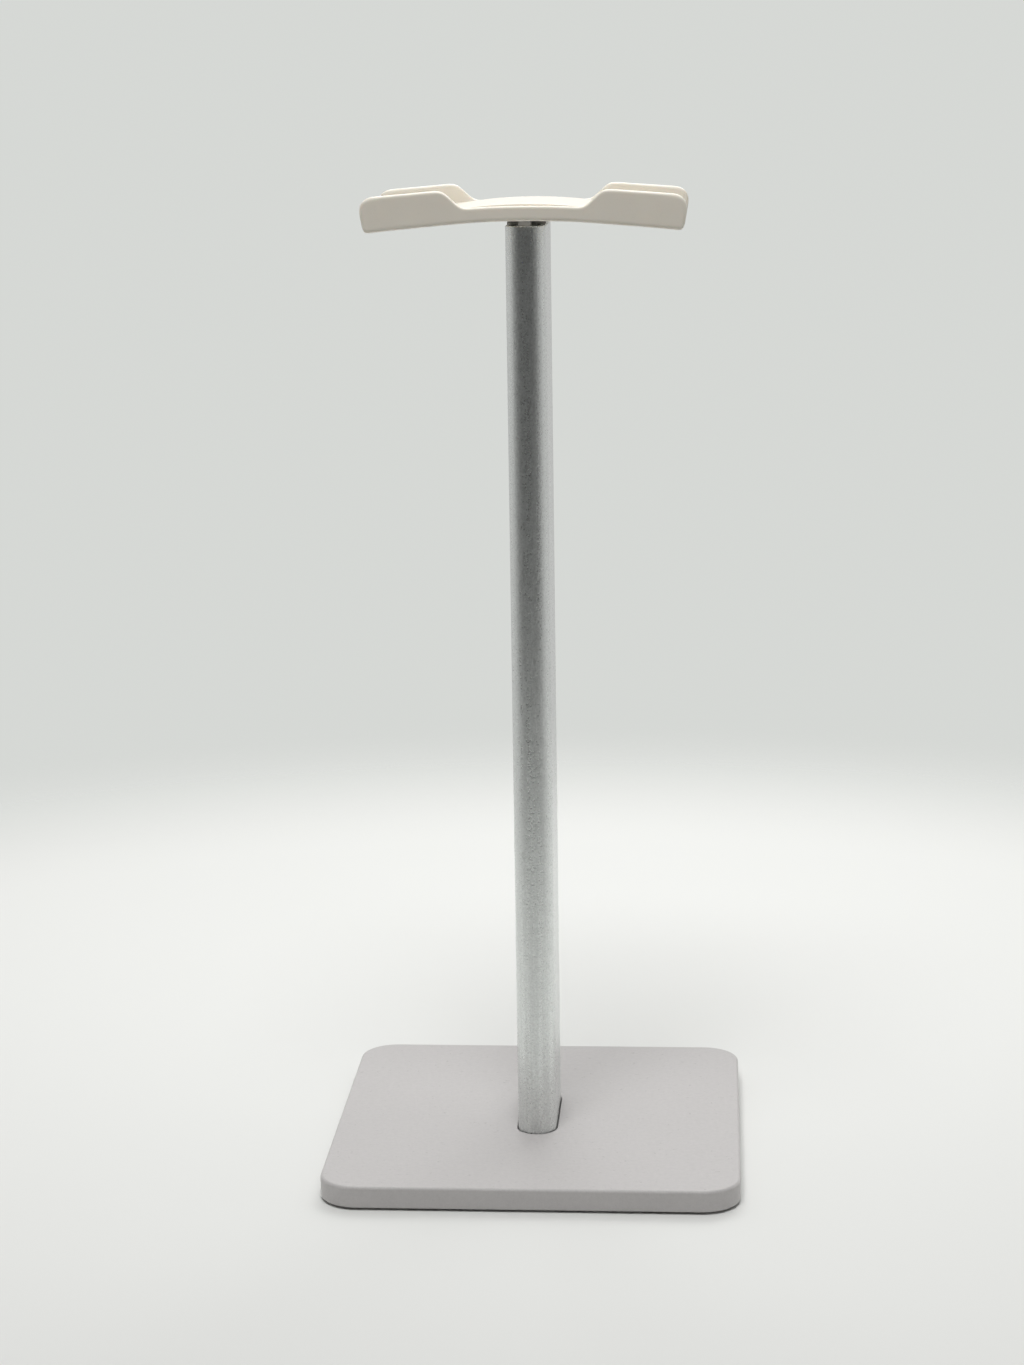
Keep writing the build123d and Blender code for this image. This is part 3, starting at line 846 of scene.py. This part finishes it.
def make_saddle_finish():
    material, tree, shader, where = surface(
        "cream_soft_rubber", IOR=1.50, Subsurface_Weight=0.12, Subsurface_Scale=1.2 * MM,
        Subsurface_Radius=(1.0, 0.75, 0.5))
    drift = tree.noise(where, 14, 3)
    flow = tree.noise(tree.stretched(where, (0.3, 1, 1)), 6, 2)
    skin = tree.noise(where, 0.30, 2)
    dust = tree.ramp(tree.noise(where, 0.8, 4, 0.65), (0.60, 0), (0.72, 1))
    from_middle = tree.absolute(tree.along("Y", where))
    on_walls = tree.band(from_middle, (INNER_WALL - 1) * MM, INNER_WALL * MM)
    colour = tree.mix(drift, tinted(SADDLE_CREAM, 0.97), tinted(SADDLE_CREAM, 1.03))
    colour = tree.mix(0.20 * flow, colour, tinted(SADDLE_CREAM, 0.93))
    colour = tree.mix(0.12 * dust * on_walls, colour, CLINGING_DUST)
    roughness = 0.26 + 0.06 * on_walls + 0.05 * skin + 0.03 * dust
    relief = bump(tree, skin, 0.015, 0.4)
    feed(tree, shader, Base_Color=colour, Roughness=roughness, Normal=relief)
    return material


dress(saddle, make_saddle_finish())

# %% [markdown]
# **Plug.** The plug is a stiff grey moulding that nobody sees but for the shoulder under the saddle. It
# has a plain satin grain and darker rub marks where its ribs were pressed down into the post.

# %% Finish of the plug
PLUG_GREY = (0.56, 0.55, 0.54, 1)


def make_plug_finish():
    material, tree, shader, where = surface("plug_grey_plastic", IOR=1.47)
    grain = tree.noise(where, 0.3, 2)
    drift = tree.noise(where, 6, 3)
    rubs = tree.ramp(tree.noise(tree.stretched(where, (1, 1, 0.05)), 0.4, 2), (0.58, 0), (0.70, 1))
    colour = tree.mix(drift, tinted(PLUG_GREY, 0.92), tinted(PLUG_GREY, 1.05))
    colour = tree.mix(0.30 * rubs, colour, tinted(PLUG_GREY, 0.6))
    relief = bump(tree, grain - 0.6 * rubs, 0.03, 0.5)
    feed(tree, shader, Base_Color=colour, Roughness=0.42 + 0.12 * grain, Normal=relief)
    return material


dress(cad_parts["headrest_plug"], make_plug_finish())

# %% [markdown]
# **Ballast.** The weight is sheet steel, cold rolled and then zinc plated. Rolling leaves long fine
# lines, and the zinc sets in flat crystals, which a Voronoi cell colour shows as faint patches.

# %% Finish of the ballast
ZINC = (0.56, 0.57, 0.585, 1)
STAIN_BROWN = (0.40, 0.38, 0.34, 1)
CRYSTAL_SIZE = 5 * MM


def make_ballast_finish():
    material, tree, shader, where = surface("rolled_zinc_steel", Metallic=1.0)
    rolling = tree.noise(tree.stretched(where, (0.02, 1, 1)), 0.4, 4, 0.6)
    crystals = tree.node("ShaderNodeTexVoronoi", {"feature": "F1"},
                         {"Vector": where, "Scale": 1 / CRYSTAL_SIZE}, output="Color")
    patch = tree.node("ShaderNodeSeparateColor", None, {0: crystals})
    stain = tree.ramp(tree.noise(where, 18, 4, 0.6), (0.5, 0), (0.75, 1))
    colour = tree.mix(rolling, tinted(ZINC, 0.85), tinted(ZINC, 1.08))
    colour = tree.mix(0.25 * patch, colour, tinted(ZINC, 1.2))
    colour = tree.mix(0.30 * stain, colour, STAIN_BROWN)
    relief = bump(tree, rolling, 0.02, 0.5)
    feed(tree, shader, Base_Color=colour, Roughness=0.30 + 0.14 * rolling + 0.08 * patch, Normal=relief)
    return material


dress(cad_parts["ballast_plate"], make_ballast_finish())

# %% [markdown]
# **Screws.** Bright zinc over steel has a cool tint that drifts towards straw where the bath was thick.
# Turning leaves rings round the shank, so the noise is squeezed along the screw's axis.

# %% Finish of the screws
SCREW_ZINC = (0.64, 0.655, 0.68, 1)
STRAW = (0.68, 0.62, 0.48, 1)


def make_screw_finish():
    material, tree, shader, where = surface("bright_zinc", Metallic=1.0)
    bath = tree.noise(where, 3, 3)
    rings = tree.noise(tree.stretched(where, (0.1, 0.1, 1)), 0.15, 2)
    nicks = tree.ramp(tree.noise(where, 0.5, 3), (0.62, 0), (0.70, 1))
    colour = tree.mix(bath, SCREW_ZINC, tinted(SCREW_ZINC, 0.88))
    thick = tree.ramp(bath, (0.5, 0), (0.7, 1))
    colour = tree.mix(0.45 * thick, colour, STRAW)
    relief = bump(tree, rings - 0.4 * nicks, 0.012, 0.6)
    feed(tree, shader, Base_Color=colour, Roughness=0.22 + 0.10 * rings + 0.14 * nicks, Normal=relief)
    return material


screw_finish = make_screw_finish()
for name in ("cover_screws", "post_screws"):
    dress(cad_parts[name], screw_finish)

# %% [markdown]
# **Feet.** Die-cut rubber is nearly black, and never quite even: the filler shows as a fine grey grain,
# and the grip face picks up pale dust from the table, more on its lowest ring than in its grooves.

# %% Finish of the feet
RUBBER_BLACK = (0.028, 0.027, 0.027, 1)
TABLE_DUST = (0.20, 0.195, 0.185, 1)
GRIP_FACE = 0.12 * MM


def make_rubber_finish():
    material, tree, shader, where = surface("black_grip_rubber", IOR=1.52)
    filler = tree.noise(where, 0.25, 3, 0.6)
    drift = tree.noise(where, 4, 3)
    lifted = tree.band(tree.along("Z", where), 0, GRIP_FACE)
    dusty = tree.ramp(drift, (0.40, 0), (0.75, 1)) * (1 - lifted)
    colour = tree.mix(filler, RUBBER_BLACK, tinted(RUBBER_BLACK, 2.2))
    colour = tree.mix(0.5 * dusty, colour, TABLE_DUST)
    relief = bump(tree, filler, 0.03, 0.7)
    feed(tree, shader, Base_Color=colour, Roughness=0.62 + 0.16 * filler + 0.12 * dusty, Normal=relief)
    return material


rubber_finish = make_rubber_finish()
for foot in feet:
    dress(foot, rubber_finish)
